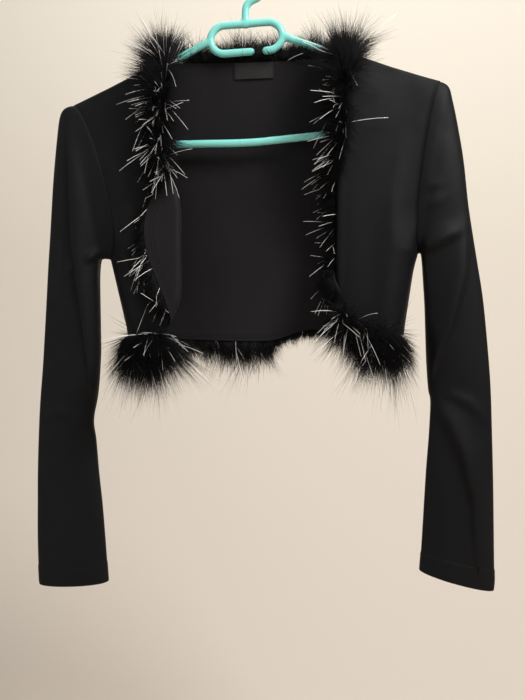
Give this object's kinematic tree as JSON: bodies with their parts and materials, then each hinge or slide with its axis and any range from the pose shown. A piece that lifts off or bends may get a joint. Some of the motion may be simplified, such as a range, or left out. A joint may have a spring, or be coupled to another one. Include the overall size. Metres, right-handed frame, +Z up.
{
  "type": "bolero jacket on a plastic hanger",
  "caption": "Cropped open-front bolero jacket with long sleeves and fluffy trimmed edges, hanging on a tubular plastic hanger.",
  "frame": {"origin": "the inner top of the hanger's hook, where it rests on a rail", "axes": "+X to the viewer's right, which is the wearer's left, +Y away from the viewer towards the garment's back, +Z up"},
  "size_m": [0.5064, 0.1163, 0.6984],
  "materials": {
    "knit": "smooth black stretch knit with a soft low sheen",
    "fluff": "soft black down-like fluff",
    "tinsel": "shiny silver film strands",
    "thread": "black sewing thread",
    "label_cloth": "dark woven label, bare",
    "hanger_plastic": "glossy turquoise moulded plastic"
  },
  "bodies": {
    "root": {"hanger_hook": "hanger_plastic", "hanger_frame": "hanger_plastic", "back": "knit", "front_right": "knit", "front_left": "knit", "sleeve_right": "knit", "sleeve_left": "knit", "label": "label_cloth", "trim_neck": "fluff", "trim_front_right": "fluff", "trim_front_left": "fluff", "trim_hem_right": "fluff", "trim_hem_left": "fluff", "trim_hem_back": "fluff"}
  },
  "joints": []
}
